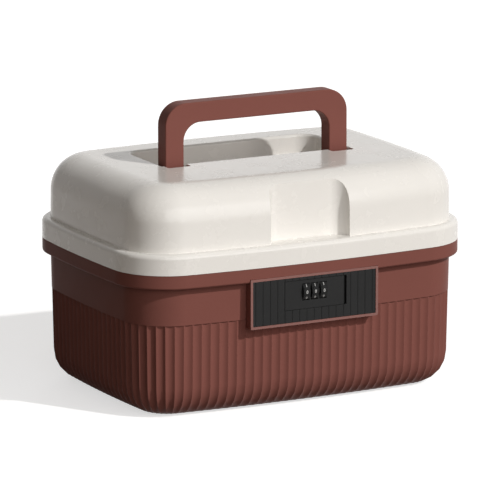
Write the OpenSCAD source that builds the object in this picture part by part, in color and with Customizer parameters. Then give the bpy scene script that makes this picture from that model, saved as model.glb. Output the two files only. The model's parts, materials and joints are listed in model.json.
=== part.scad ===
// Lockable storage box: fluted tub, domed lid on two pin hinges, folding handle,
// three-dial combination lock on the front, and a lift-out tray.
// +X is the long side to the right, the front is -Y, the origin is at the centre of the base.

/* [Box] */
// Length of the rim, left to right
box_l = 320; // [290:1:350]
// Width of the rim, front to back
box_w = 230; // [215:1:250]
// Height of the tub up to the parting line
tub_h = 122.7; // [115:0.1:140]
// Corner radius of the rim
corner_r = 49; // [46:1:56]
// Turn of the slight bow of the long sides, from the middle to the corner
long_turn = 4.6355; // [2.5:0.0001:5.5]
// Turn of the slight bow of the short sides, from the middle to the corner
short_turn = 3.1428; // [1.5:0.0001:4]
// How far the rim stands out from the walls
rim_overhang = 7; // [6:0.1:8]
// Height of the tub's rim band
rim_h = 11.8; // [10:0.1:14]
// Radius of the rim band's lower edge
rim_edge_r = 2; // [1:0.1:3]
// Thickness of the tub walls above the flutes
wall = 3.2; // [2.8:0.1:4]
// Thickness of the tub floor
floor_t = 3; // [2.4:0.1:4]
// Inward lean of the tub walls, in mm for each mm of height
draft = 0.019; // [0.01:0.001:0.03]
// Radius of the bottom edge of the tub
base_r = 26; // [20:1:30]
// Height of the tub's lip inside the lid
lip_h = 5; // [3:0.5:7]
// Gap between tub and lid at the parting line
parting_gap = 0.3; // [0.2:0.05:0.5]

/* [Flutes] */
// Number of flutes round the tub
flute_n = 120; // [100:2:132]
// Depth of a flute
flute_depth = 1.5; // [0.8:0.1:1.6]
// Height at which the flutes end
flute_top = 79.5; // [60:0.5:90]
// Place of the first ridge, as a share of a flute
flute_phase = 0.5; // [0:0.01:1]

/* [Lid] */
// Height of the lid's skirt
skirt_h = 17; // [14:0.5:20]
// Radius of the skirt's upper edge
skirt_edge_r = 4; // [2:0.5:5]
// Height of the lid from the parting line to its flat top
lid_h = 70.5; // [64:0.1:80]
// Radius of the edge round the flat top
dome_r = 30; // [22:1:34]
// Thickness of the lid walls
lid_wall = 2.8; // [2.4:0.1:3.4]
// Half width of the thumb pocket in the front of the lid
pocket_half_w = 36.7; // [30:0.1:42]
// Depth of the thumb pocket
pocket_d = 12.5; // [10:0.1:14]

/* [Handle] */
// Overall width of the handle
handle_w = 171; // [150:1:180]
// Height of the handle above the lid
handle_rise = 51.2; // [44:0.1:56]
// Width of a handle leg
leg_w = 17; // [14:0.1:18]
// Height of the grip bar
grip_h = 17; // [14:0.1:19]
// Thickness of the handle, front to back
handle_t = 15; // [13:0.1:15.4]
// Outer corner radius of the handle
handle_outer_r = 19; // [16:0.5:26]
// Inner corner radius of the handle
handle_inner_r = 15.5; // [12:0.5:20]
// Radius of the handle's long edges
handle_edge_r = 1.1; // [0.8:0.1:2]
// Front face of the upright handle, forward of the box's middle
handle_front = 13.5; // [8:0.5:16]
// Gap beside each leg in its recess
leg_gap = 2; // [1:0.1:3]
// Depth of the handle recess in the lid
recess_d = 16.5; // [15:0.5:20]
// Back edge of the handle recess, behind the box's middle
recess_back = 57; // [55:0.5:64]
// Radius of the recess's back corners
recess_back_r = 14; // [10:1:28]
// Radius of the recess's front corners
recess_front_r = 3; // [2:0.5:6]
// How far each leg's socket reaches forward of the recess
socket_d = 9; // [4:0.5:12]
// Radius of the corners of a leg's socket
socket_r = 2; // [1:0.5:4]
// Radius of the recess's upper edge
recess_lip_r = 2.5; // [1.5:0.1:4]
// Height of the handle pivot below the lid's top
pivot_drop = 8; // [7.6:0.1:8.6]
// Radius of the handle pins
handle_pin_r = 2.5; // [2:0.1:3]

/* [Hinges] */
// Distance of each hinge from the box's middle
hinge_x = 75; // [60:1:90]
// Distance of the hinge axis behind the rim
hinge_back = 4.5; // [4.5:0.1:6]
// Outer radius of a hinge knuckle
knuckle_r = 4.5; // [4:0.1:4.5]
// Radius of the hinge pins
hinge_pin_r = 1.5; // [1.2:0.1:2]
// Length of the lid's knuckle
lid_knuckle_l = 14; // [10:0.5:20]
// Length of each of the tub's knuckles
tub_knuckle_l = 8; // [6:0.5:12]
// Side gap between two knuckles
knuckle_gap = 0.3; // [0.2:0.05:0.5]
// Radial running clearance of pins and axles
running_gap = 0.05; // [0.03:0.01:0.08]

/* [Lock] */
// Width of the black lock face
face_w = 114.4; // [108:0.1:118]
// Height of the black lock face
face_h = 37.4; // [34:0.1:40]
// Top of the lock face below the parting line
face_drop = 10.9; // [9:0.1:12]
// Width of the frame round the lock face
frame_rim = 2.2; // [1.6:0.1:3]
// Depth of the lock frame
frame_d = 6.4; // [6:0.1:6.8]
// How far the face lies back from the frame
face_inset = 0.6; // [0.3:0.1:1]
// Thickness of the lock face
face_t = 2.2; // [1.8:0.1:2.4]
// Distance between the grooves of the lock face
slat_pitch = 6.8; // [5:0.1:9]
// Depth of those grooves
slat_depth = 0.7; // [0.4:0.1:1]
// Half width of the sliding centre block
slider_half_w = 27.4; // [26:0.1:29]
// Height of the sliding centre block
slider_h = 24; // [22:0.1:26]
// Top of the centre block below the top of the lock face
slider_drop = 2.8; // [2.2:0.1:4]
// Travel of the centre block to the right
slide_travel = 2.3; // [1.5:0.1:3]
// Number of number dials
dial_n = 3; // [3:1:3]
// Distance between the dials
dial_pitch = 8; // [7.8:0.1:8.4]
// Radius of a dial
dial_r = 9; // [8.6:0.1:9.4]
// Width of a dial's rim
dial_w = 6.2; // [5.6:0.1:6.4]
// How far the dials stand out of the centre block
dial_proud = 2.6; // [2:0.1:3]
// Height of the dials below the top of the lock face
dial_drop = 12.7; // [12.4:0.1:13.2]
// Radius of the dial axle
axle_r = 1.5; // [1.2:0.1:1.8]
// Play between sliding lock pieces
slide_gap = 0.3; // [0.2:0.05:0.4]

/* [Tray] */
// Height of the tray's upper edge below the parting line
tray_drop = 3; // [1:0.5:8]
// Thickness of the tray's walls
tray_wall = 1.8; // [1.4:0.1:2.4]
// Gap between the tray and the tub's wall
tray_gap = 3; // [2:0.1:4]
// Front of the tray, forward of the box's middle
tray_front = 91; // [80:1:92]

/* [Hidden] */

brown = [0.5, 0.31, 0.28];
cream = [0.91, 0.9, 0.88];
black = [0.12, 0.12, 0.12];
steel = [0.7, 0.7, 0.72];
dial_black = [0.07, 0.07, 0.07];
clear_grey = [0.82, 0.82, 0.8];

half_l = box_l / 2;
half_w = box_w / 2;
rim_z = tub_h - rim_h;
lid_z = tub_h + parting_gap;
ledge_z = lid_z + skirt_h;
top_z = tub_h + parting_gap / 2 + lid_h;
skirt_t = lid_wall;
eps = 0.01;

// Steps of the rounded edges in the swept sections
edge_steps = 5;

// The rim's outline is four big arcs joined by four corner arcs that touch them.
// Every smaller outline has the same centres and smaller radii.
bow_det = sin(long_turn) * sin(short_turn) - (1 - cos(long_turn)) * (1 - cos(short_turn));
bow_long_r = corner_r + ((half_l - corner_r) * sin(short_turn)
                         - (half_w - corner_r) * (1 - cos(short_turn))) / bow_det;
bow_short_r = corner_r + ((half_w - corner_r) * sin(long_turn)
                          - (half_l - corner_r) * (1 - cos(long_turn))) / bow_det;
corner_c = [(bow_long_r - corner_r) * sin(long_turn), (bow_short_r - corner_r) * sin(short_turn)];

// Points of an arc from angle a0 to a1
function arc(x, y, r, a0, a1, n) = [for (i = [0:n]) let (a = a0 + (a1 - a0) * i / n) [x + r * cos(a), y + r * sin(a)]];

// Inset of the tub's outer wall from the rim at height z
function wall_inset(z) = rim_overhang + draft * max(rim_z - z, 0);

// Moves by hundredths first and then by the rest, which keeps long distances exact
module shift(x, y) {
    near = [round(x * 100) / 100, round(y * 100) / 100];
    translate(near) translate([x - near[0], y - near[1]]) children();
}

// Turns the section, drawn as [inset, height], about the point x, y
module sweep_arc(x, y, start, turn, radius, steps_per_turn) {
    shift(x, y)
        rotate(start)
            rotate_extrude(angle = turn, $fn = steps_per_turn)
                shift(radius, 0) mirror([1, 0]) children();
}

// Sweeps a section, drawn as [inset, height], round the whole outline:
// half a long side, a corner and half a short side, mirrored both ways
module around() {
    for (left = [0, 1]) for (back = [0, 1])
        mirror([left, 0, 0]) mirror([0, back, 0]) {
            sweep_arc(0, bow_long_r - half_w, -90, long_turn, bow_long_r, 1440)
                children();
            sweep_arc(corner_c[0], -corner_c[1], long_turn - 90, 90 - long_turn - short_turn,
                      corner_r, 144)
                children();
            mirror([0, 1, 0])
                sweep_arc(half_l - bow_short_r, 0, 0, short_turn, bow_short_r, 1440)
                    children();
        }
}

// Swept solids reach this far in, and the core fills the middle that they leave open
reach = corner_r - 4;
module core(z0, z1) {
    x = half_l - reach + 0.5;
    y = half_w - reach + 1;
    translate([-x, -y, z0]) cube([2 * x, 2 * y, z1 - z0]);
}

// Box given by its lowest and highest corners
module block(low, high) {
    translate(low) cube(high - low);
}

// Cylinder of radius r along X from x0 to x1
module rod_x(x0, x1, r, y, z) {
    translate([x0, y, z]) rotate([0, 90, 0]) cylinder(r = r, h = x1 - x0, $fn = 64);
}

// Cylinder of radius r along Y from y0 to y1
module rod_y(x, y0, y1, r, z) {
    translate([x, y1, z]) rotate([90, 0, 0]) cylinder(r = r, h = y1 - y0, $fn = 64);
}

// Rounded rectangle with its own radius at the front and back corners
module rounded_plan(x, y0, y1, r0, r1) {
    translate([-x, y0 + r0]) square([2 * x, y1 - y0 - r0 - r1]);
    translate([-x + r0, y0]) square([2 * (x - r0), r0 + eps]);
    translate([-x + r1, y1 - r1 - eps]) square([2 * (x - r1), r1 + eps]);
    for (side = [-1, 1]) {
        translate([side * (x - r0), y0 + r0]) circle(r0, $fn = 96);
        translate([side * (x - r1), y1 - r1]) circle(r1, $fn = 96);
    }
}

// The fluted lower part of the tub
flute_steps = 5;
base_steps = 5;
inner_steps = 4;
ring_n = flute_n * flute_steps;
// The ridges lie this far behind the smooth band above them
ridge_inset = 0.2;

ref_inset = rim_overhang;
len_long = (bow_long_r - ref_inset) * long_turn * PI / 180;
len_corner = (corner_r - ref_inset) * (90 - long_turn - short_turn) * PI / 180;
len_short = (bow_short_r - ref_inset) * short_turn * PI / 180;
quarter = len_long + len_corner + len_short;

// Angle of the outline's normal from the front, at length u along one quarter
function quarter_angle(u) =
    u < len_long ? u / (bow_long_r - ref_inset) * 180 / PI :
    u < len_long + len_corner ? long_turn + (u - len_long) / (corner_r - ref_inset) * 180 / PI :
    90 - short_turn + (u - len_long - len_corner) / (bow_short_r - ref_inset) * 180 / PI;

// Point of the outline with the given inset, at normal angle a in the front right quarter
function quarter_point(a, inset) =
    let (c = a < long_turn ? [0, bow_long_r - half_w] :
             a < 90 - short_turn ? [corner_c[0], -corner_c[1]] : [half_l - bow_short_r, 0],
         r = a < long_turn ? bow_long_r : a < 90 - short_turn ? corner_r : bow_short_r)
    c + (r - inset) * [sin(a), -cos(a)];

// Point at length s round the outline, counted from the middle of the front to the right
function outline_point(s, inset) =
    let (whole = s - floor(s / (4 * quarter)) * 4 * quarter,
         q = floor(whole / quarter),
         t = whole - q * quarter,
         p = quarter_point(quarter_angle(q % 2 == 0 ? t : quarter - t), inset))
    [q < 2 ? p[0] : -p[0], q == 0 || q == 3 ? p[1] : -p[1]];

// Depth of the flutes at step i, as a share of their full depth
function flute_share(i) = let (t = (i % flute_steps) / flute_steps) 4 * t * (1 - t);

// Heights, insets and flute depths of the outer rings, from the base up
flute_rings = concat(
    [for (k = [0:base_steps])
        let (turn = 90 * (1 - k / base_steps))
        [base_r * (1 - sin(turn)),
         wall_inset(base_r) + ridge_inset + base_r * (1 - cos(turn)),
         flute_depth * min(1, (90 - turn) / 40)]],
    [[flute_top, wall_inset(flute_top) + ridge_inset, flute_depth]]);

// Heights and insets of the inner rings, from the top down to the floor
inner_rings = concat(
    [[flute_top, rim_overhang + wall]],
    [for (k = [0:inner_steps])
        let (turn = 90 * k / inner_steps, r = base_r - wall)
        [floor_t + r * (1 - sin(turn)), wall_inset(base_r) + wall + r * (1 - cos(turn))]]);

// The fluted walls with the floor, as one shell with its top open
module fluted_base() {
    pitch = 4 * quarter / ring_n;
    inner_n = 2 * flute_n;
    outer = [for (ring = flute_rings) for (i = [0:ring_n - 1])
        let (p = outline_point((i + flute_phase * flute_steps) * pitch, ring[1] + ring[2] * flute_share(i)))
        [p[0], p[1], ring[0]]];
    inner = [for (ring = inner_rings) for (i = [0:inner_n - 1])
        let (p = outline_point((i * flute_steps / 2 + flute_phase * flute_steps) * pitch, ring[1]))
        [p[0], p[1], ring[0]]];
    first = len(outer);
    top = first - ring_n;
    floor_ring = first + len(inner) - inner_n;
    outer_walls = [for (k = [0:len(flute_rings) - 2]) for (i = [0:ring_n - 1])
        let (a = k * ring_n + i, b = k * ring_n + (i + 1) % ring_n)
        each [[a, a + ring_n, b + ring_n], [a, b + ring_n, b]]];
    inner_walls = [for (k = [0:len(inner_rings) - 2]) for (i = [0:inner_n - 1])
        let (a = first + k * inner_n + i, b = first + k * inner_n + (i + 1) % inner_n)
        each [[a, a + inner_n, b + inner_n], [a, b + inner_n, b]]];
    edge = [for (k = [0:flute_n - 1])
        let (o = [for (j = [0:flute_steps]) top + (k * flute_steps + j) % ring_n],
             n = [for (j = [0:2]) first + (k * 2 + j) % inner_n])
        each [[n[0], o[1], o[0]], [n[0], o[2], o[1]], [n[0], n[1], o[2]], [n[1], o[3], o[2]],
              [n[1], o[4], o[3]], [n[1], o[5], o[4]], [n[1], n[2], o[5]]]];
    polyhedron(concat(outer, inner),
               concat([[for (i = [0:ring_n - 1]) i]],
                      [[for (i = [inner_n - 1:-1:0]) floor_ring + i]],
                      outer_walls, inner_walls, edge));
}

// Tub
// Section of the smooth band, the hollow rim and the lip
rim_wall = 2.2;
module band_section() {
    polygon(concat(
        [[wall_inset(flute_top), flute_top], [rim_overhang, rim_z],
         [rim_overhang, tub_h - rim_wall], [rim_wall, tub_h - rim_wall], [rim_wall, rim_z]],
        arc(rim_edge_r, rim_z + rim_edge_r, rim_edge_r, 270, 180, edge_steps),
        [[0, tub_h], [rim_overhang, tub_h], [rim_overhang, tub_h + lip_h],
         [rim_overhang + wall, tub_h + lip_h], [rim_overhang + wall, flute_top]]));
}

// Upright ribs on the side walls, on which the tray rests
tray_z = flute_top;
tray_h = tub_h - tray_drop - tray_z;
rib_top = tray_z - slide_gap;
rib_d = 7;
rib_t = 2.4;
rib_bite = 0.5;
rib_ys = [-45, 0, 45];
rib_foot = 3;
module tray_ribs() {
    for (y = rib_ys) {
        x0 = half_l - (bow_short_r - sqrt(pow(bow_short_r, 2) - y * y)) + rib_bite;
        x_in = x0 - wall_inset(base_r) - wall - rib_bite - rib_d;
        for (side = [0, 1])
            mirror([side, 0, 0]) translate([0, y + rib_t / 2, 0]) rotate([90, 0, 0])
                linear_extrude(rib_t)
                    polygon(concat(
                        [[x0 - inner_rings[0][1], rib_top], [x_in, rib_top],
                         [x_in, inner_rings[3][0] + rib_foot]],
                        [for (k = [4:-1:1]) [x0 - inner_rings[k][1], inner_rings[k][0] - rib_bite]]));
    }
}

hinge_y = half_w + hinge_back;
hinge_z = tub_h + parting_gap / 2;
knuckle_end = lid_knuckle_l / 2 + knuckle_gap + tub_knuckle_l;

// One knuckle with its arm, on the box side from z0 to z1
module knuckle(x0, x1, z0, z1) {
    rod_x(x0, x1, knuckle_r, hinge_y, hinge_z);
    block([x0, half_w - skirt_t, z0], [x1, hinge_y, z1]);
}

module tub_knuckles() {
    for (side = [-1, 1])
        for (end = [-1, 1]) {
            near = side * hinge_x + end * (lid_knuckle_l / 2 + knuckle_gap);
            far = near + end * tub_knuckle_l;
            knuckle(min(near, far), max(near, far), hinge_z - knuckle_r, tub_h);
        }
}

// Lock: depths are measured back from the frame's front face
function lock_y(d) = -half_w + d;
face_top = tub_h - face_drop;
face_low = face_top - face_h;
frame_half_w = face_w / 2 + frame_rim;
frame_low = face_low - frame_rim;
frame_top = face_top + frame_rim;
face_back = face_inset + face_t;
carrier_front = face_back + slide_gap;
carrier_back = carrier_front + 1.8;
slider_top = face_top - slider_drop;
slider_low = slider_top - slider_h;
dial_z = face_top - dial_drop;
dial_d = face_inset - dial_proud + dial_r;
dial_y = lock_y(dial_d);
wall_back = rim_overhang + wall;
plate_d = wall_back + 2;
plate_t = 2;
housing_back = dial_d + dial_r + 4;
housing_wall = 2;
cheek_x0 = dial_pitch * dial_n / 2 + 1.2;
cheek_x1 = cheek_x0 + 3;
window_x0 = -cheek_x1 - 1.4;
window_x1 = cheek_x1 + slide_travel + 0.6;
window_half_h = dial_r + 1.4;
screw_r = 1.4;
boss_half = 4;
screw_edge = 5;
screw_x = face_w / 2 - screw_edge;
screw_zs = [max(flute_top + boss_half + 0.1, face_low + screw_edge), face_top - screw_edge];

module tub_screw_bosses() {
    for (x = [-screw_x, screw_x]) for (z = screw_zs)
        rod_y(x, lock_y(rim_overhang + 1.5), lock_y(plate_d), boss_half, z);
}

// Flat pad behind the lock, between two heights
module lock_pad(z0, z1) {
    block([-frame_half_w, lock_y(frame_d), z0], [frame_half_w, lock_y(wall_back - 0.5), z1]);
}

// The tub's floor and fluted walls
module tub() {
    color(brown)
        difference() {
            union() {
                fluted_base();
                tray_ribs();
                lock_pad(frame_low, flute_top);
            }
            block([-frame_half_w - 0.1, lock_y(-2), frame_low - 5],
                  [frame_half_w + 0.1, lock_y(frame_d), flute_top + 1]);
        }
}

// The tub's smooth band and rim, with the seat of the lock and the hinge knuckles
module tub_rim() {
    color(brown)
        difference() {
            union() {
                around() band_section();
                lock_pad(flute_top, frame_top + 2);
                tub_screw_bosses();
                tub_knuckles();
            }
            block([-frame_half_w - 0.1, lock_y(-2), flute_top - 1],
                  [frame_half_w + 0.1, lock_y(frame_d), frame_top + 0.1]);
            block([window_x0, lock_y(frame_d - 1), dial_z - window_half_h],
                  [window_x1, lock_y(plate_d), dial_z + window_half_h]);
            for (x = [-screw_x, screw_x]) for (z = screw_zs)
                rod_y(x, lock_y(frame_d - 1), lock_y(plate_d + 1), screw_r + running_gap, z);
            for (side = [-1, 1])
                rod_x(side * hinge_x - knuckle_end - 1, side * hinge_x + knuckle_end + 1,
                      hinge_pin_r + running_gap, hinge_y, hinge_z);
        }
}

module hinge_pins() {
    color(steel)
        for (side = [-1, 1])
            rod_x(side * hinge_x - knuckle_end, side * hinge_x + knuckle_end,
                  hinge_pin_r, hinge_y, hinge_z);
}

// Rectangle in the plane of the lock face, with rounded corners, from depth d0 to d1
module lock_plate(x0, x1, z0, z1, d0, d1, r) {
    translate([0, lock_y(d1), 0]) rotate([90, 0, 0])
        linear_extrude(d1 - d0) {
            translate([x0 + r, z0]) square([x1 - x0 - 2 * r, z1 - z0]);
            translate([x0, z0 + r]) square([x1 - x0, z1 - z0 - 2 * r]);
            for (x = [x0 + r, x1 - r]) for (z = [z0 + r, z1 - r])
                translate([x, z]) circle(r, $fn = 48);
        }
}

module lock_frame() {
    seat = 1.2;
    color(brown)
        difference() {
            union() {
                difference() {
                    lock_plate(-frame_half_w, frame_half_w, frame_low, frame_top, 0, frame_d, 1.2);
                    lock_plate(-face_w / 2 - 0.1, face_w / 2 + 0.1, face_low - 0.1, face_top + 0.1,
                               -1, face_back, 0.5);
                    lock_plate(-face_w / 2 + seat, face_w / 2 - seat, face_low + seat,
                               face_top - seat, face_back - 1, frame_d + 1, 0.5);
                }
                for (x = [-screw_x, screw_x]) for (z = screw_zs)
                    block([x - boss_half, lock_y(face_back), z - boss_half],
                          [x + boss_half, lock_y(frame_d), z + boss_half]);
            }
            for (x = [-screw_x, screw_x]) for (z = screw_zs)
                rod_y(x, lock_y(face_back + 0.5), lock_y(frame_d + 1), screw_r + running_gap, z);
        }
}

// Upright V-groove in the lock face
module slat_groove(x, z0, z1) {
    translate([x, lock_y(face_inset), z0])
        linear_extrude(z1 - z0)
            polygon([[-slat_depth, -eps], [slat_depth, -eps], [0, slat_depth]]);
}

face_window = [-slider_half_w - slide_gap, slider_half_w + slide_travel + slide_gap];

module lock_face() {
    count = floor(face_w / 2 / slat_pitch);
    color(black)
        difference() {
            lock_plate(-face_w / 2, face_w / 2, face_low, face_top, face_inset, face_back, 0.5);
            lock_plate(face_window[0], face_window[1], slider_low - slide_gap,
                       slider_top + slide_gap, -1, face_back + 1, 0.4);
            for (i = [-count:count])
                slat_groove(i * slat_pitch, face_low - 1, face_top + 1);
        }
}

module lock_housing() {
    flange_x = screw_x + boss_half;
    hook_slot = [nose_tip - 14, nose_tip + 2];
    color(black)
        difference() {
            union() {
                lock_plate(-flange_x, flange_x, face_low + 0.5, face_top - 0.5,
                           plate_d, plate_d + plate_t, 2);
                lock_plate(housing_x0, housing_x1, housing_z0, housing_z1,
                           plate_d, housing_back, 2);
            }
            block([housing_x0 + housing_wall, lock_y(plate_d - 1), housing_z0 + housing_wall],
                  [housing_x1 - housing_wall, lock_y(housing_back - housing_wall),
                   housing_z1 - housing_wall]);
            block([hook_slot[0], lock_y(plate_d - 1), housing_z1 - housing_wall - 1],
                  [hook_slot[1], lock_y(hook_d + hook_t + 1.5), housing_z1 + 1]);
            for (x = [-screw_x, screw_x]) for (z = screw_zs)
                rod_y(x, lock_y(plate_d - 1), lock_y(plate_d + plate_t + 1),
                      screw_r + running_gap, z);
            rod_y(reset_x, lock_y(housing_back - housing_wall - 1), lock_y(housing_back + 1),
                  reset_r + running_gap, reset_z);
        }
}
housing_x0 = -44;
housing_x1 = 34;
housing_z0 = dial_z - 19;
housing_z1 = dial_z + 17;

// Screws from inside the tub through the housing and the wall into the frame
module lock_screws() {
    head_t = 1.6;
    color(steel)
        for (x = [-screw_x, screw_x]) for (z = screw_zs) {
            rod_y(x, lock_y(face_back + 0.8), lock_y(plate_d + plate_t), screw_r, z);
            rod_y(x, lock_y(plate_d + plate_t), lock_y(plate_d + plate_t + head_t), 2 * screw_r, z);
        }
}

// Sliding centre block with its dials
window_r = dial_r + 0.6;
dial_xs = [for (i = [0:dial_n - 1]) (i - (dial_n - 1) / 2) * dial_pitch];

module release_slider() {
    lip = 1.5;
    color(black)
        difference() {
            union() {
                lock_plate(-slider_half_w, slider_half_w, slider_low, slider_top,
                           face_inset, carrier_back, 0.4);
                lock_plate(-slider_half_w - 3, slider_half_w + 3, slider_low - lip,
                           slider_top + lip - 0.4, carrier_front, carrier_back, 0.4);
                for (side = [-1, 1])
                    block([side > 0 ? cheek_x0 : -cheek_x1, lock_y(carrier_back - 0.5),
                           dial_z - dial_r],
                          [side > 0 ? cheek_x1 : -cheek_x0, lock_y(bolt_d), dial_z + dial_r]);
            }
            for (x = dial_xs)
                rod_x(x - dial_w / 2 - slide_gap, x + dial_w / 2 + slide_gap, window_r,
                      dial_y, dial_z);
            rod_x(-cheek_x0 + 0.4, cheek_x0 - 0.4, flange_r + 0.5, dial_y, dial_z);
            rod_x(-cheek_x1 - 1, cheek_x1 + 1, axle_r + running_gap, dial_y, dial_z);
            for (x = bolt_screw_xs) for (z = bolt_screw_zs)
                rod_y(x, lock_y(bolt_d - 4), lock_y(bolt_d + 1), bolt_screw_r, z);
        }
}

module dial_axle() {
    head_r = axle_r + 0.9;
    color(steel) {
        rod_x(-cheek_x1 - 0.2, cheek_x1 + 0.2, axle_r, dial_y, dial_z);
        rod_x(-cheek_x1 - 0.6, -cheek_x1 - 0.1, head_r, dial_y, dial_z);
    }
}

// Sleeve inside each dial: a tube with a notched flange beside the dial's rim
sleeve_r = 3.4;
flange_t = 1.2;
flange_r = 5.2;
sleeve_l = dial_pitch - 0.3;
dial_side = 0.15;

module dial(x) {
    groove_r = 0.7;
    color(dial_black)
        difference() {
            rod_x(x - dial_w / 2, x + dial_w / 2, dial_r, dial_y, dial_z);
            rod_x(x - dial_w / 2 - 1, x + dial_w / 2 + 1, sleeve_r + running_gap, dial_y, dial_z);
            for (i = [0:9]) {
                a = 36 * i + 18;
                for (end = [-1, 1])
                    rod_x(x + end * dial_w / 2 - 1.2, x + end * dial_w / 2 + 1.2, groove_r,
                          dial_y + (dial_r + 0.2) * cos(a), dial_z + (dial_r + 0.2) * sin(a));
            }
        }
}

module dial_1() dial(dial_xs[0]);
module dial_2() dial(dial_xs[1]);
module dial_3() dial(dial_xs[2]);

module code_sleeve(x) {
    x0 = x - dial_w / 2 - 0.1;
    x1 = x + dial_w / 2 + dial_side;
    color(steel)
        difference() {
            union() {
                rod_x(x0, x1, sleeve_r, dial_y, dial_z);
                rod_x(x1, x1 + flange_t, flange_r, dial_y, dial_z);
            }
            rod_x(x0 - 1, x1 + flange_t + 1, axle_r + running_gap, dial_y, dial_z);
            block([x1, dial_y + sleeve_r, dial_z - 1.2],
                  [x1 + flange_t + 1, dial_y + flange_r + 1, dial_z + 1.2]);
        }
}

module code_sleeve_1() code_sleeve(dial_xs[0]);
module code_sleeve_2() code_sleeve(dial_xs[1]);
module code_sleeve_3() code_sleeve(dial_xs[2]);

// Latch bolt: a steel frame behind the wall, with a nose that locks the lid's hook
bolt_d = plate_d + 0.6;
bolt_t = 1.8;
bolt_half_w = cheek_x1 + 3.4;
bolt_half_h = dial_r + 4;
nose_tip = -bolt_half_w - 4.2;
nose_z = [dial_z + 4.5, dial_z + 9.5];
bolt_screw_r = 0.9;
bolt_screw_xs = [-(cheek_x0 + cheek_x1) / 2, (cheek_x0 + cheek_x1) / 2];
bolt_screw_zs = [dial_z - dial_r + 2, dial_z + dial_r - 2];

module latch_bolt() {
    color(steel)
        difference() {
            union() {
                lock_plate(-bolt_half_w, bolt_half_w, dial_z - bolt_half_h, dial_z + bolt_half_h,
                           bolt_d, bolt_d + bolt_t, 1.5);
                lock_plate(nose_tip, -bolt_half_w + 3, nose_z[0], nose_z[1],
                           bolt_d, bolt_d + bolt_t, 0.8);
                block([bolt_half_w - 2, lock_y(bolt_d), spring_z - spring_r - 0.4],
                      [bolt_half_w, lock_y(bolt_d + 3.4), spring_z + spring_r + 0.4]);
            }
            lock_plate(-cheek_x0, cheek_x0, dial_z - dial_r - 0.8, dial_z + dial_r + 0.8,
                       bolt_d - 1, bolt_d + bolt_t + 1, 1);
            for (x = bolt_screw_xs) for (z = bolt_screw_zs)
                rod_y(x, lock_y(bolt_d - 1), lock_y(bolt_d + bolt_t + 1), bolt_screw_r, z);
        }
}

module bolt_screws() {
    color(steel)
        for (x = bolt_screw_xs) for (z = bolt_screw_zs) {
            rod_y(x, lock_y(bolt_d - 3.8), lock_y(bolt_d + bolt_t), bolt_screw_r - running_gap, z);
            rod_y(x, lock_y(bolt_d + bolt_t), lock_y(bolt_d + bolt_t + 0.8), 1.4, z);
        }
}

// Leaf with one finger for each dial, under the dials on the two cheeks
module detent_spring() {
    leaf_t = 0.4;
    z = dial_z - dial_r - leaf_t;
    color(steel) {
        block([-cheek_x1, lock_y(dial_d - 2), z], [cheek_x1, lock_y(dial_d + 2), z + leaf_t]);
        for (x = dial_xs)
            block([x - 1.6, lock_y(dial_d - 2), z], [x + 1.6, lock_y(dial_d - 0.6), z + leaf_t]);
    }
}

// Compression spring between the bolt and the housing
spring_r = 1.9;
spring_wire_r = 0.35;
spring_turns = 7;
spring_z = dial_z - bolt_half_h + 3;
spring_y = lock_y(bolt_d + 1.2);
spring_x0 = bolt_half_w + slide_gap;
spring_x1 = housing_x1 - housing_wall - slide_gap;

module slider_spring() {
    sides = 6;
    rings = spring_turns * 10;
    length = spring_x1 - spring_x0 - 2 * spring_wire_r;
    points = [for (k = [0:rings]) for (i = [0:sides - 1])
        let (turn = 360 * spring_turns * k / rings,
             a = 360 * i / sides,
             r = spring_r + spring_wire_r * cos(a))
        [spring_x0 + spring_wire_r + length * k / rings + spring_wire_r * sin(a),
         spring_y + r * cos(turn), spring_z + r * sin(turn)]];
    tube = [for (k = [0:rings - 1]) for (i = [0:sides - 1])
        let (a = k * sides + i, b = k * sides + (i + 1) % sides)
        each [[a, b, b + sides], [a, b + sides, a + sides]]];
    color(steel)
        polyhedron(points, concat([[for (i = [sides - 1:-1:0]) i]],
                                  [[for (i = [0:sides - 1]) rings * sides + i]], tube));
}

// Lever on the back of the housing that lets the owner set a new code
reset_x = -30;
reset_z = dial_z - 6;
reset_r = 2;
module reset_lever() {
    color(black) {
        rod_y(reset_x, lock_y(housing_back - housing_wall - 1.6),
              lock_y(housing_back + slide_gap), reset_r, reset_z);
        rod_y(reset_x, lock_y(housing_back - housing_wall - 1.6),
              lock_y(housing_back - housing_wall - slide_gap), reset_r + 1.2, reset_z);
        rod_y(reset_x, lock_y(housing_back + slide_gap), lock_y(housing_back + 2), 3.4, reset_z);
        block([reset_x, lock_y(housing_back + slide_gap), reset_z - 1.8],
              [reset_x + 12, lock_y(housing_back + 2), reset_z + 1.8]);
    }
}

// Lid
// Section of the lid, filled, or of its inside when inner is 1
dome_inset = rim_overhang + draft * (top_z - dome_r - ledge_z);
module lid_section(inner) {
    t = inner * lid_wall;
    r = dome_r - t;
    low = lid_z - inner;
    polygon([[rim_overhang + t, low], [rim_overhang + t, ledge_z], [dome_inset + t, top_z - dome_r],
             [dome_inset + dome_r, top_z - dome_r + eps], [reach, top_z - dome_r + eps], [reach, low]]);
    translate([dome_inset + dome_r, top_z - dome_r - eps])
        square([reach - dome_inset - dome_r, r + eps]);
    intersection() {
        translate([dome_inset + dome_r, top_z - dome_r]) circle(r, $fn = 180);
        translate([dome_inset + t - 1, top_z - dome_r]) square([r + 1, r + 1]);
    }
    if (inner == 1)
        translate([skirt_t, low]) square([rim_overhang, ledge_z - lid_wall - low]);
    else {
        translate([0, low]) square([rim_overhang + 1, skirt_h - skirt_edge_r]);
        translate([skirt_edge_r, low]) square([rim_overhang + 1 - skirt_edge_r, skirt_h]);
        translate([skirt_edge_r, ledge_z - skirt_edge_r]) circle(skirt_edge_r, $fn = 96);
    }
}

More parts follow.
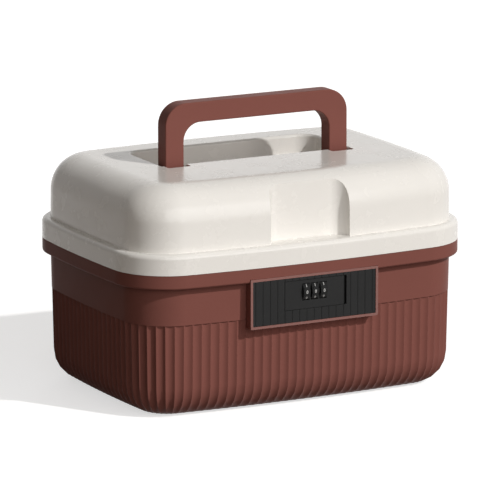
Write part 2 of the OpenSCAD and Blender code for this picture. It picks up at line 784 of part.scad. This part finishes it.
pocket_y = -half_w + rim_overhang + pocket_d;
pivot_y = -handle_front + handle_t / 2;
pivot_z = top_z - pivot_drop;
recess_x = handle_w / 2 + leg_gap;
recess_front = -handle_front - 0.4;
socket_w = leg_w + 2 * leg_gap;
recess_z = top_z - recess_d;
pin_boss_r = handle_pin_r + 2.8;
pin_boss_x = recess_x + 9;

// Thumb pocket in the front, drawn larger by grow
module pocket(grow, z0, z1) {
    translate([0, 0, z0])
        linear_extrude(z1 - z0)
            rounded_plan(pocket_half_w + grow, -half_w - 5, pocket_y + grow, 1, pocket_d - 0.5 + grow);
}

// Handle recess with a socket for the front of each leg, drawn larger by grow
module recess(grow, z0, z1) {
    translate([0, 0, z0])
        linear_extrude(z1 - z0) {
            rounded_plan(recess_x + grow, recess_front - grow, recess_back + grow,
                         recess_front_r + grow, recess_back_r + grow);
            for (side = [-1, 1])
                translate([side * (recess_x - socket_w / 2), 0])
                    rounded_plan(socket_w / 2 + grow, recess_front - socket_d - grow,
                                 recess_front + 2 * recess_front_r + 4, socket_r + grow, 1);
        }
}

// Section of the rounding along the recess's upper edge, drawn as [outward, height]
module lip_section() {
    polygon(concat([[-0.5, top_z + 1], [recess_lip_r, top_z + 1]],
                   arc(recess_lip_r, top_z - recess_lip_r, recess_lip_r, 90, 180, edge_steps),
                   [[-0.5, top_z - recess_lip_r]]));
}

// Straight run of the rounding, from x to the mirrored x, then turned and moved
module lip_run(from, angle, length) {
    translate(from) rotate(angle) rotate([90, 0, 90]) linear_extrude(length)
        mirror([1, 0]) lip_section();
}

module lip_corner(centre, start, r) {
    translate(centre) rotate(start)
        rotate_extrude(angle = 90, $fn = 96) translate([r, 0]) lip_section();
}

module recess_lip() {
    x1 = recess_x - recess_back_r;
    y0 = recess_front;
    y1 = recess_back - recess_back_r;
    lip_run([recess_x, y0, 0], 90, y1 - y0);
    lip_run([x1, recess_back, 0], 180, 2 * x1);
    lip_run([-recess_x, y1, 0], 270, y1 - y0);
    lip_corner([x1, y1, 0], 0, recess_back_r);
    lip_corner([-x1, y1, 0], 90, recess_back_r);
}

// Hook under the lid
hook_d = bolt_d - 0.4;
hook_t = bolt_t + 0.8;
hook_x1 = nose_tip - slide_gap;
hook_w = 10;
hook_end = 5;
hook_drop = 9;
hook_tab_d = 10;
hook_tab_t = 2;
hook_seat_side = 4;
hook_play = 0.5;
hook_screw_r = 1.1;
hook_screw_l = 6.6;
hook_x0 = hook_x1 - hook_w;
hook_low = nose_z[0] - hook_end;
hook_top = lid_z + hook_drop;
hook_seat = [hook_x0 - hook_seat_side, hook_x1 + hook_seat_side];
hook_screw_xs = [hook_x0 - 1, hook_x1 + 1];
hook_screw_y = lock_y(hook_d + hook_tab_d * 0.65);

module lid_shell() {
    color(cream)
        difference() {
            union() {
                difference() {
                    union() {
                        around() lid_section(0);
                        core(lid_z, top_z);
                    }
                    difference() {
                        union() {
                            around() lid_section(1);
                            core(lid_z - 1, top_z - lid_wall);
                        }
                        pocket(lid_wall, ledge_z - lid_wall, top_z);
                        recess(lid_wall, recess_z - lid_wall, top_z);
                        for (side = [-1, 1])
                            rod_x(side > 0 ? recess_x : -pin_boss_x, side > 0 ? pin_boss_x : -recess_x,
                                  pin_boss_r, pivot_y, pivot_z);
                        block([hook_seat[0], lock_y(wall_back + 1), hook_top + hook_tab_t],
                              [hook_seat[1], pocket_y + lid_wall, ledge_z]);
                    }
                    pocket(0, ledge_z, top_z + 1);
                    recess(0, recess_z, top_z + 1);
                }
                for (side = [-1, 1])
                    knuckle(side * hinge_x - lid_knuckle_l / 2, side * hinge_x + lid_knuckle_l / 2,
                            lid_z, hinge_z + knuckle_r);
            }
            recess_lip();
            for (side = [-1, 1]) {
                rod_x(side * hinge_x - lid_knuckle_l, side * hinge_x + lid_knuckle_l,
                      hinge_pin_r + running_gap, hinge_y, hinge_z);
                rod_x(side > 0 ? recess_x - 1 : -pin_boss_x + 1.5,
                      side > 0 ? pin_boss_x - 1.5 : -recess_x + 1,
                      handle_pin_r + running_gap, pivot_y, pivot_z);
            }
            for (x = hook_screw_xs)
                translate([x, hook_screw_y, hook_top - 1])
                    cylinder(r = hook_screw_r, h = hook_screw_l + 1.2, $fn = 32);
        }
}

// Steel hook: a tab screwed under the lid, and a tongue with a notch for the bolt's nose
module lid_hook() {
    color(steel)
        difference() {
            union() {
                block([hook_x0, lock_y(hook_d), hook_low], [hook_x1, lock_y(hook_d + hook_t), hook_top]);
                block([hook_seat[0] + hook_play, lock_y(hook_d), hook_top],
                      [hook_seat[1] - hook_play, lock_y(hook_d + hook_tab_d), hook_top + hook_tab_t]);
            }
            block([hook_x1 - hook_w / 2, lock_y(hook_d - 1), nose_z[0] - hook_play],
                  [hook_x1 + 1, lock_y(hook_d + hook_t + 1), nose_z[1] + hook_play]);
            for (x = hook_screw_xs)
                translate([x, hook_screw_y, hook_top - 1])
                    cylinder(r = hook_screw_r, h = hook_tab_t + 2, $fn = 32);
        }
}

module hook_screws() {
    color(steel)
        for (x = hook_screw_xs)
            translate([x, hook_screw_y, hook_top]) {
                cylinder(r = hook_screw_r - running_gap, h = hook_screw_l, $fn = 32);
                translate([0, 0, -1.2]) cylinder(r = 2 * hook_screw_r, h = 1.2, $fn = 32);
            }
}

// Handle
handle_top = top_z + handle_rise;
handle_half = handle_w / 2;

// Outline of the handle in the X-Z plane, above the pivot
module handle_outline() {
    o = handle_outer_r;
    i = handle_inner_r;
    inner_x = handle_half - leg_w;
    inner_z = handle_top - grip_h;
    difference() {
        union() {
            translate([-handle_half, pivot_z]) square([handle_w, handle_top - o - pivot_z]);
            translate([-handle_half + o, handle_top - o - eps]) square([handle_w - 2 * o, o + eps]);
            for (side = [-1, 1])
                translate([side * (handle_half - o), handle_top - o]) circle(o, $fn = 128);
        }
        translate([-inner_x, pivot_z - 1]) square([2 * inner_x, inner_z - i - pivot_z + 1]);
        translate([-inner_x + i, inner_z - i - eps]) square([2 * (inner_x - i), i + eps]);
        for (side = [-1, 1])
            translate([side * (inner_x - i), inner_z - i]) circle(i, $fn = 128);
    }
}

// What a rounded edge loses, drawn as [away from the outline, across the handle]
module edge_section(outside) {
    r = handle_edge_r;
    h = handle_t / 2;
    polygon(concat([[outside, h + 1], [outside, h - r]],
                   arc(-outside * r, h - r, r, outside > 0 ? 0 : 180, 90, edge_steps),
                   [[-outside * r, h + 1]]));
}

// One leg, one corner and half of the bar of that edge, for an outline with
// its side at x, its top at z and its corner radius r
module edge_quarter(x, z, r, outside) {
    translate([x, 0, pivot_z - 1]) linear_extrude(z - r - pivot_z + 1) edge_section(outside);
    translate([x - r, 0, z - r]) rotate([90, 0, 0])
        rotate_extrude(angle = 90, $fn = 128) translate([r, 0]) edge_section(outside);
    translate([-1, 0, z]) rotate([90, 0, 90])
        linear_extrude(x - r + 1) mirror([1, -1]) edge_section(outside);
}

module handle_edges() {
    for (side = [0, 1]) for (face = [0, 1])
        translate([0, pivot_y, 0]) mirror([side, 0, 0]) mirror([0, face, 0]) {
            edge_quarter(handle_half, handle_top, handle_outer_r, 1);
            edge_quarter(handle_half - leg_w, handle_top - grip_h, handle_inner_r, -1);
        }
}

module handle() {
    color(brown)
        difference() {
            union() {
                translate([0, pivot_y + handle_t / 2, 0]) rotate([90, 0, 0])
                    linear_extrude(handle_t) handle_outline();
                for (side = [-1, 1])
                    rod_x(side > 0 ? handle_half - leg_w : -handle_half,
                          side > 0 ? handle_half : -handle_half + leg_w,
                          handle_t / 2, pivot_y, pivot_z);
            }
            handle_edges();
            for (side = [-1, 1])
                rod_x(side > 0 ? handle_half - leg_w + 3 : -handle_half - 1,
                      side > 0 ? handle_half + 1 : -handle_half + leg_w - 3,
                      handle_pin_r + running_gap, pivot_y, pivot_z);
        }
}

module handle_pins() {
    color(steel)
        for (side = [-1, 1])
            rod_x(side > 0 ? handle_half - leg_w + 3.3 : -pin_boss_x + 1.8,
                  side > 0 ? pin_boss_x - 1.8 : -handle_half + leg_w - 3.3,
                  handle_pin_r, pivot_y, pivot_z);
}

// Lift-out tray
module tray_section(inset, z0) {
    low = wall_inset(tray_z) + wall + tray_gap + inset;
    polygon([[low, z0], [reach, z0], [reach, tray_z + tray_h + 1], [low, tray_z + tray_h + 1]]);
}

module tray_solid(inset, z0) {
    around() tray_section(inset, z0);
    core(z0, tray_z + tray_h + 1);
}

divider_y = 5;
rear_dividers = [-50, 50];

module tray() {
    top = tray_z + tray_h;
    color(clear_grey)
        difference() {
            intersection() {
                tray_solid(0, tray_z);
                block([-half_l, -tray_front, tray_z], [half_l, half_w, top]);
            }
            difference() {
                intersection() {
                    tray_solid(tray_wall, tray_z + tray_wall);
                    block([-half_l, -tray_front + tray_wall, tray_z + tray_wall], [half_l, half_w, top + 1]);
                }
                block([-half_l, divider_y, tray_z], [half_l, divider_y + tray_wall, top - 3]);
                for (x = rear_dividers)
                    block([x - tray_wall / 2, divider_y, tray_z], [x + tray_wall / 2, half_w, top - 3]);
                block([-tray_wall / 2, -tray_front, tray_z], [tray_wall / 2, divider_y + 1, top - 3]);
            }
        }
}

tub();
tub_rim();
hinge_pins();
lock_frame();
lock_face();
lock_housing();
lock_screws();
slider_spring();
lid_shell();
handle_pins();
lid_hook();
hook_screws();
handle();
release_slider();
dial_axle();
latch_bolt();
bolt_screws();
detent_spring();
dial_1();
dial_2();
dial_3();
code_sleeve_1();
code_sleeve_2();
code_sleeve_3();
tray();
reset_lever();
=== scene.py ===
import json
import math

import bmesh
import bpy
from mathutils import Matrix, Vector


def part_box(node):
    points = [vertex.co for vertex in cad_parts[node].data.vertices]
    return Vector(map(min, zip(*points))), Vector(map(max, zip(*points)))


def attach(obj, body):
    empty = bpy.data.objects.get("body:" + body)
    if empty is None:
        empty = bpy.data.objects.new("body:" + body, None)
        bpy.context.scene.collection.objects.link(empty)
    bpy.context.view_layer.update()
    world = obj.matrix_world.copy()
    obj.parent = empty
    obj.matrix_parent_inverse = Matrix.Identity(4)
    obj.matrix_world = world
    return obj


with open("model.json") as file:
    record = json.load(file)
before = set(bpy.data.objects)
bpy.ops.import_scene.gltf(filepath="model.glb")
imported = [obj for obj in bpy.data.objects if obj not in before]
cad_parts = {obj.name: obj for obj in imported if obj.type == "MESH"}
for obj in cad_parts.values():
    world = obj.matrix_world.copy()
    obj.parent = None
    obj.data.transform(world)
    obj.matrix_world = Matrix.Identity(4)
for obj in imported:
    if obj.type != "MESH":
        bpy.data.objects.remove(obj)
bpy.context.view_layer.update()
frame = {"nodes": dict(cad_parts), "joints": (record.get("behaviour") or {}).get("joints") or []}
nodes = frame["nodes"]

MM = 0.001  # metres
DIALS = ("dial_1", "dial_2", "dial_3")


def add_object(name, data):
    obj = bpy.data.objects.new(name, data)
    bpy.context.scene.collection.objects.link(obj)
    return obj


# Node trees of the materials
NOISE_LOW, NOISE_HIGH = 0.3, 0.7  # where most of a noise texture's values lie


def new_material(name):
    material = bpy.data.materials.new(name)
    material.use_nodes = True
    tree = material.node_tree
    tree.nodes.clear()
    out = tree.nodes.new("ShaderNodeOutputMaterial")
    shader = tree.nodes.new("ShaderNodeBsdfPrincipled")
    tree.links.new(shader.outputs["BSDF"], out.inputs["Surface"])
    return material, tree, shader


def place(tree, stretch=(1, 1, 1)):
    """Coordinates in metres that move with the piece."""
    coords = tree.nodes.new("ShaderNodeTexCoord")
    mapping = tree.nodes.new("ShaderNodeMapping")
    mapping.inputs["Scale"].default_value = stretch
    tree.links.new(coords.outputs["Object"], mapping.inputs["Vector"])
    return mapping.outputs["Vector"]


def noise(tree, where, per_metre, detail, roughness=0.55):
    """Clouds of noise, with per_metre of the largest of them along a metre."""
    node = tree.nodes.new("ShaderNodeTexNoise")
    node.inputs["Scale"].default_value = per_metre
    node.inputs["Detail"].default_value = detail
    node.inputs["Roughness"].default_value = roughness
    tree.links.new(where, node.inputs["Vector"])
    return node.outputs["Fac"]


def remap(tree, value, low, high):
    """The noise, spread over low to high."""
    node = tree.nodes.new("ShaderNodeMapRange")
    ends = {"From Min": NOISE_LOW, "From Max": NOISE_HIGH, "To Min": low, "To Max": high}
    for name, number in ends.items():
        node.inputs[name].default_value = number
    tree.links.new(value, node.inputs["Value"])
    return node.outputs["Result"]


def scaled_colour(tree, colour, value):
    """The colour, made lighter or darker by value."""
    node = tree.nodes.new("ShaderNodeVectorMath")
    node.operation = "SCALE"
    node.inputs[0].default_value = colour
    tree.links.new(value, node.inputs["Scale"])
    return node.outputs["Vector"]


def bump(tree, height, depth, below=None):
    """Relief of a depth in mm, on top of the relief below."""
    node = tree.nodes.new("ShaderNodeBump")
    node.inputs["Distance"].default_value = depth * MM
    tree.links.new(height, node.inputs["Height"])
    if below is not None:
        tree.links.new(below, node.inputs["Normal"])
    return node.outputs["Normal"]


# Moulded plastic
CLOUDS = 14.0  # patches of colour along a metre
FLOW_MARKS = 30.0  # waves that the melt leaves along a metre
FLOW_STRETCH = (1, 1, 0.35)  # the waves run up the piece
SHEEN_PATCHES = 60.0  # patches of other sheen along a metre
SHINIER, DULLER = 0.04, 0.05  # how far the roughness strays
COAT_ROUGH = 0.12
LIGHT_REACH = 2.0  # how deep light goes into thin plastic, mm
REACH_BY_COLOUR = (1.0, 0.8, 0.6)  # parts of that for red, green and blue


def plastic(name, colour, rough, specular=0.5, coat=0.0, spread=0.03, grain=900.0,
            grain_depth=0.01, wave_depth=0.02, subsurface=0.0):
    """Fine grain, a faint flow of the melt, and uneven sheen.

    spread is how far the colour strays, grain how many grains lie along a metre, and the depths are in mm.
    """
    material, tree, shader = new_material(name)
    where = place(tree)
    cloud = noise(tree, where, CLOUDS, detail=3.0)
    fine = noise(tree, where, grain, detail=3.0)
    flow = noise(tree, place(tree, FLOW_STRETCH), FLOW_MARKS, detail=2.0)
    sheen = noise(tree, where, SHEEN_PATCHES, detail=5.0)
    tree.links.new(scaled_colour(tree, colour, remap(tree, cloud, 1 - spread, 1 + spread)),
                   shader.inputs["Base Color"])
    tree.links.new(remap(tree, sheen, rough - SHINIER, rough + DULLER), shader.inputs["Roughness"])
    tree.links.new(bump(tree, fine, grain_depth, bump(tree, flow, wave_depth)), shader.inputs["Normal"])
    shader.inputs["Specular IOR Level"].default_value = specular
    shader.inputs["Coat Weight"].default_value = coat
    shader.inputs["Coat Roughness"].default_value = COAT_ROUGH
    if subsurface:
        shader.inputs["Subsurface Weight"].default_value = subsurface
        shader.inputs["Subsurface Radius"].default_value = REACH_BY_COLOUR
        shader.inputs["Subsurface Scale"].default_value = LIGHT_REACH * MM
    return material


# Plated steel
BRUSH_LINES = 900.0  # along a metre across the lines
BRUSH_DEPTH = 0.008  # mm
LINE_SHINIER, LINE_DULLER = 0.08, 0.1
STAINS = 90.0  # along a metre
STAIN_DARK, STAIN_LIGHT = 0.9, 1.08


def metal(name, colour, rough, stretch):
    """Steel with brush lines along the axis on which stretch is small."""
    material, tree, shader = new_material(name)
    lines = noise(tree, place(tree, stretch), BRUSH_LINES, detail=6.0, roughness=0.7)
    cloud = noise(tree, place(tree), STAINS, detail=3.0)
    tree.links.new(scaled_colour(tree, colour, remap(tree, cloud, STAIN_DARK, STAIN_LIGHT)),
                   shader.inputs["Base Color"])
    shader.inputs["Metallic"].default_value = 1.0
    tree.links.new(remap(tree, lines, rough - LINE_SHINIER, rough + LINE_DULLER), shader.inputs["Roughness"])
    tree.links.new(bump(tree, lines, BRUSH_DEPTH), shader.inputs["Normal"])
    return material


# Colours, and the material of each piece
BROWN = (0.2, 0.075, 0.061)
FRAME_BROWN = (0.2, 0.073, 0.058)
CREAM = (0.78, 0.755, 0.715)
WHITE = (0.74, 0.73, 0.7)
BLACK = (0.009, 0.009, 0.009)
DEEP_BLACK = (0.008, 0.008, 0.008)
GREY = (0.42, 0.42, 0.41)
BRIGHT_STEEL = (0.6, 0.6, 0.62)
DARK_STEEL = (0.5, 0.5, 0.52)

tub_brown = plastic("tub_brown", BROWN, 0.4, specular=0.02, spread=0.025)
handle_brown = plastic("handle_brown", BROWN, 0.4, specular=0.03, spread=0.02)
frame_brown = plastic("frame_brown", FRAME_BROWN, 0.16, specular=0.6, spread=0.02)
lid_cream = plastic("lid_cream", CREAM, 0.25, specular=0.45, coat=0.2, spread=0.012,
                    grain=120.0, grain_depth=0.004, wave_depth=0.01)
lock_black = plastic("lock_black", BLACK, 0.35, specular=0.2, spread=0.08, grain=2200.0, grain_depth=0.012)
dial_black = plastic("dial_black", DEEP_BLACK, 0.5, specular=0.15, spread=0.05,
                     grain=2500.0, grain_depth=0.004)
tray_white = plastic("tray_white", WHITE, 0.4, subsurface=0.15)
steel = metal("steel", BRIGHT_STEEL, 0.3, stretch=(1, 1, 0.06))
spring_steel = metal("spring_steel", DARK_STEEL, 0.25, stretch=(0.06, 1, 1))
numeral_grey = plastic("numeral_grey", GREY, 0.6, specular=0.1, grain=4000.0)

FINISH = {  # every other node is steel
    "tub": tub_brown, "tub_rim": tub_brown, "handle": handle_brown, "lock_frame": frame_brown,
    "lid_shell": lid_cream, "tray": tray_white,
    "lock_face": lock_black, "release_slider": lock_black, "lock_housing": lock_black,
    "reset_lever": lock_black, **dict.fromkeys(DIALS, dial_black),
    "slider_spring": spring_steel, "detent_spring": spring_steel,
}

# Smooth faces and soft arrises
SOFT_EDGE = {  # width of the rounded arrises, mm
    "lock_frame": 0.9, "lock_face": 0.2, "release_slider": 0.3, "lock_housing": 0.4, "handle": 0.25,
    "tray": 0.5, "lid_hook": 0.3, "latch_bolt": 0.25, "reset_lever": 0.3, **dict.fromkeys(DIALS, 0.15),
}
SOFT_ANGLE = math.radians(50)  # an edge that turns more than this is rounded
SOFT_STEPS = 2
JOIN_GAP = 0.002  # corners nearer than this become one, mm
FLAT_WEIGHT = 80  # how far a large face outweighs a small one beside it
CREASE = math.cos(math.radians(28))  # faces that meet at a larger angle keep a sharp edge
SPECK = 0.4 * MM * MM  # area of a face too small to set its own direction
STEPS_PER_METRE = 1e6  # corners that round to the same step are in one place


def smooth_by_angle(mesh):
    """Normals that run on across every seam between the surfaces, and break where faces meet at an angle.

    A speck of a face that leans away from all that is round it takes the lean of its surroundings.
    """
    places = [tuple(round(c * STEPS_PER_METRE) for c in vertex.co) for vertex in mesh.vertices]
    around = {}
    for face in mesh.polygons:
        for corner in face.vertices:
            around.setdefault(places[corner], []).append(face)
    facing = [face.normal.copy() for face in mesh.polygons]
    for face in mesh.polygons:
        if face.area < SPECK:
            near = {other.index: other for corner in face.vertices for other in around[places[corner]]}
            larger = [other for other in near.values() if other.area > face.area]
            total = sum((other.normal * other.area for other in larger), Vector((0, 0, 0)))
            if total.length and total.normalized().dot(face.normal) < CREASE:
                facing[face.index] = total.normalized()
    normals = []
    for face in mesh.polygons:
        own = facing[face.index]
        for corner in face.vertices:
            total = Vector((0, 0, 0))
            for other in around[places[corner]]:
                if facing[other.index].dot(own) > CREASE:
                    total += facing[other.index] * other.area
            normals.append(total.normalized() if total.length else own)
    mesh.normals_split_custom_set(normals)


def soften_edges(name, obj):
    """Rounds the arrises by modifiers, which leave the node's own mesh as it is."""
    weld = obj.modifiers.new("join", "WELD")
    weld.merge_threshold = JOIN_GAP * MM
    edge = obj.modifiers.new("soft edge", "BEVEL")
    edge.width = SOFT_EDGE[name] * MM
    edge.segments = SOFT_STEPS
    edge.limit_method = "ANGLE"
    edge.angle_limit = SOFT_ANGLE
    edge.use_clamp_overlap = True
    edge.miter_outer = "MITER_ARC"
    normals = obj.modifiers.new("flat faces stay flat", "WEIGHTED_NORMAL")
    normals.keep_sharp = True
    normals.weight = FLAT_WEIGHT


def finish_node(name, obj):
    obj.data.materials.clear()
    obj.data.materials.append(FINISH.get(name, steel))
    for face in obj.data.polygons:
        face.use_smooth = True
    if name in SOFT_EDGE:
        soften_edges(name, obj)
    else:
        smooth_by_angle(obj.data)


for node_name, node_object in nodes.items():
    finish_node(node_name, node_object)

# The numbers on the dials, in mm
NUMERAL_H = 3.7  # size of the type
NUMERAL_T = 0.03  # half the thickness of a digit
NUMERAL_STAND = 0.008  # how far a digit stands proud of its dial
NUMERAL_BOLD = 0.12  # how far the outline of the type is moved outwards
NUMERAL_NARROW = 0.95  # width, in parts of the type's own
NUMERAL_STRIPS = 14  # flat strips that a bent digit is made of
CURVE_STEPS = 6
CUT_NEAR = 1e-5  # a corner this near a cut counts as on it
DIGITS = 10
FRONT = math.pi  # turn of the 0, which faces the front at rest


def flat_digit(digit):
    """The digit as a mesh that lies flat, in mm."""
    curve = bpy.data.curves.new(f"digit_{digit}", "FONT")
    curve.body = str(digit)
    curve.align_x = "CENTER"
    curve.align_y = "CENTER"
    curve.size = NUMERAL_H
    curve.extrude = NUMERAL_T
    curve.resolution_u = CURVE_STEPS
    curve.offset = NUMERAL_BOLD
    flat = add_object("flat", curve)
    bpy.context.view_layer.update()
    mesh = bpy.data.meshes.new_from_object(flat.evaluated_get(bpy.context.evaluated_depsgraph_get()))
    bpy.data.objects.remove(flat)
    bpy.data.curves.remove(curve)
    return mesh


def cut_in_strips(mesh, low, high):
    """Cuts across the digit from its foot, low, to its head, high, so that it can bend."""
    parts = bmesh.new()
    parts.from_mesh(mesh)
    for cut in range(1, NUMERAL_STRIPS):
        bmesh.ops.bisect_plane(parts, geom=parts.verts[:] + parts.edges[:] + parts.faces[:], dist=CUT_NEAR,
                               plane_co=(0, low + (high - low) * cut / NUMERAL_STRIPS, 0), plane_no=(0, 1, 0))
    parts.to_mesh(mesh)
    parts.free()


def numeral(digit, dial, axis, dial_r):
    """A thin digit wrapped round its dial, with the next higher digit above its head."""
    mesh = flat_digit(digit)
    low = min(vertex.co.y for vertex in mesh.vertices)
    high = max(vertex.co.y for vertex in mesh.vertices)
    cut_in_strips(mesh, low, high)
    middle = (low + high) / 2
    for vertex in mesh.vertices:
        turn = FRONT - 2 * math.pi * digit / DIGITS - (vertex.co.y - middle) / dial_r
        radius = dial_r + NUMERAL_STAND - NUMERAL_T + vertex.co.z
        out = Vector((vertex.co.x * NUMERAL_NARROW, radius * math.cos(turn), radius * math.sin(turn)))
        vertex.co = (axis + out) * MM
    obj = add_object(f"numeral_{dial}_{digit}", mesh)
    obj.data.materials.append(numeral_grey)
    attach(obj, dial)


for joint in frame["joints"]:
    if joint["child"] in DIALS:
        low_corner, high_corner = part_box(joint["child"])
        dial_radius = (high_corner.y - low_corner.y) / 2 / MM
        for number in range(DIGITS):
            numeral(number, joint["child"], Vector(joint["pos_m"]) / MM, dial_radius)


# Floor and backdrop, pale where they are seen and darker where their light falls on the box
SHOWN_FLOOR = (0.7, 0.7, 0.7)
SHOWN_GLOW = (0.62, 0.62, 0.62)
SHOWN_BACKDROP = (1, 1, 1)
BOUNCED_FLOOR = (0.11, 0.08, 0.05)
BOUNCED_GLOW = (0, 0, 0)
BOUNCED_BACKDROP = (0.05, 0.036, 0.023)
FLOOR_ROUGH = 0.8
FLOOR_SPECULAR = 0.2
FLOOR_SIZE = 60.0
FLOOR_DROP = 0.2 * MM  # keeps the floor's face clear of the tub's


def two_looks(tree, bounced, shown):
    """One colour for light that bounces, another for what is seen, also in a mirror or through glass."""
    path = tree.nodes.new("ShaderNodeLightPath")
    seen = path.outputs["Is Camera Ray"]
    for ray in ("Is Glossy Ray", "Is Transmission Ray"):
        either = tree.nodes.new("ShaderNodeMath")
        either.operation = "MAXIMUM"
        tree.links.new(seen, either.inputs[0])
        tree.links.new(path.outputs[ray], either.inputs[1])
        seen = either.outputs[0]
    mix = tree.nodes.new("ShaderNodeMix")
    mix.data_type = "RGBA"
    tree.links.new(seen, mix.inputs["Factor"])
    sockets = {socket.identifier: socket for socket in mix.inputs}
    sockets["A_Color"].default_value = (*bounced, 1)
    sockets["B_Color"].default_value = (*shown, 1)
    return {socket.identifier: socket for socket in mix.outputs}["Result_Color"]


floor_material, floor_tree, floor_shader = new_material("floor")
floor_tree.links.new(two_looks(floor_tree, BOUNCED_FLOOR, SHOWN_FLOOR), floor_shader.inputs["Base Color"])
floor_tree.links.new(two_looks(floor_tree, BOUNCED_GLOW, SHOWN_GLOW), floor_shader.inputs["Emission Color"])
floor_shader.inputs["Emission Strength"].default_value = 1.0
floor_shader.inputs["Roughness"].default_value = FLOOR_ROUGH
floor_shader.inputs["Specular IOR Level"].default_value = FLOOR_SPECULAR
bpy.ops.mesh.primitive_plane_add(size=FLOOR_SIZE, location=(0, 0, -FLOOR_DROP))
floor = bpy.context.object
floor.name = "floor"
floor.data.materials.append(floor_material)

world = bpy.data.worlds.new("studio")
bpy.context.scene.world = world
world.use_nodes = True
world_tree = world.node_tree
world_tree.links.new(two_looks(world_tree, BOUNCED_BACKDROP, SHOWN_BACKDROP),
                     world_tree.nodes["Background"].inputs["Color"])

# Lamps and camera
BOX_MIDDLE = Vector((0, 0, 0.1))
SUN_DISTANCE = 4  # a sun shines alike from any distance
LENS = 360  # mm, long because the photo has little perspective
SENSOR = 36  # width, mm
CAMERA_PLACE = (-1.9095, -3.6329, 1.0141)
CAMERA_AIM = Vector((0.4544, 0.8644, -0.2149))
FAR = 100  # metres that the camera sees


def face_along(obj, direction):
    obj.rotation_mode = "QUATERNION"
    obj.rotation_quaternion = direction.to_track_quat("-Z", "Y")


def softbox(name, where, power, width, height, mirrored=True):
    """A wide lamp that faces the box; where mirrored is False, no surface reflects it."""
    light = bpy.data.lights.new(name, "AREA")
    light.shape = "RECTANGLE"
    light.size = width
    light.size_y = height
    light.energy = power
    obj = add_object(name, light)
    obj.visible_glossy = mirrored
    obj.location = where
    face_along(obj, BOX_MIDDLE - obj.location)


def sun(name, where, strength, spread, colour):
    """A sun whose disc spans spread degrees, and which no surface reflects."""
    light = bpy.data.lights.new(name, "SUN")
    light.energy = strength
    light.angle = math.radians(spread)
    light.color = colour
    obj = add_object(name, light)
    obj.visible_glossy = False
    obj.location = Vector(where) * SUN_DISTANCE
    face_along(obj, -obj.location)


sun("key", (0.40, -0.68, 0.60), strength=2.2, spread=1.6, colour=(1.0, 0.995, 0.985))
softbox("front_fill", (0.1, -2.6, 1.0), power=38, width=3.2, height=2.0)
softbox("rear_fill", (1.5, 2.6, 1.0), power=20, width=2.4, height=1.6, mirrored=False)

camera_data = bpy.data.cameras.new("camera")
camera_data.lens = LENS
camera_data.sensor_width = SENSOR
camera_data.clip_end = FAR
camera = add_object("camera", camera_data)
camera.location = CAMERA_PLACE
face_along(camera, CAMERA_AIM)
bpy.context.scene.camera = camera
bpy.context.scene.view_settings.view_transform = "Standard"
